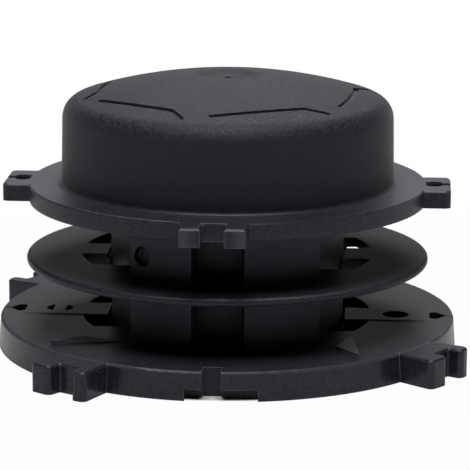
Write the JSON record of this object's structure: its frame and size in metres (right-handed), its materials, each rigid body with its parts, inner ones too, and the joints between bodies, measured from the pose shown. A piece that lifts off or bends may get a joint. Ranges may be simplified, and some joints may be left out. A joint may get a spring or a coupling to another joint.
{
  "type": "trimmer line spool",
  "caption": "Two-chamber line spool for a string trimmer's cutting head, with a hollow hub, lugged flanges and a domed bump knob moulded in one piece.",
  "frame": {"origin": "on the spool's axis, in the plane of the base flange's foot", "axes": "+Z along the axis from the base flange up through the knob, +X through one keyhole of the base flange, -Y towards the notch at the front"},
  "size_m": [0.0946, 0.0946, 0.0535],
  "materials": {
    "black_nylon": "near-black moulded nylon, finely textured and matt on the knob, smoother and satin on the flanges"
  },
  "bodies": {
    "root": {"line_spool": "black_nylon"}
  },
  "joints": []
}
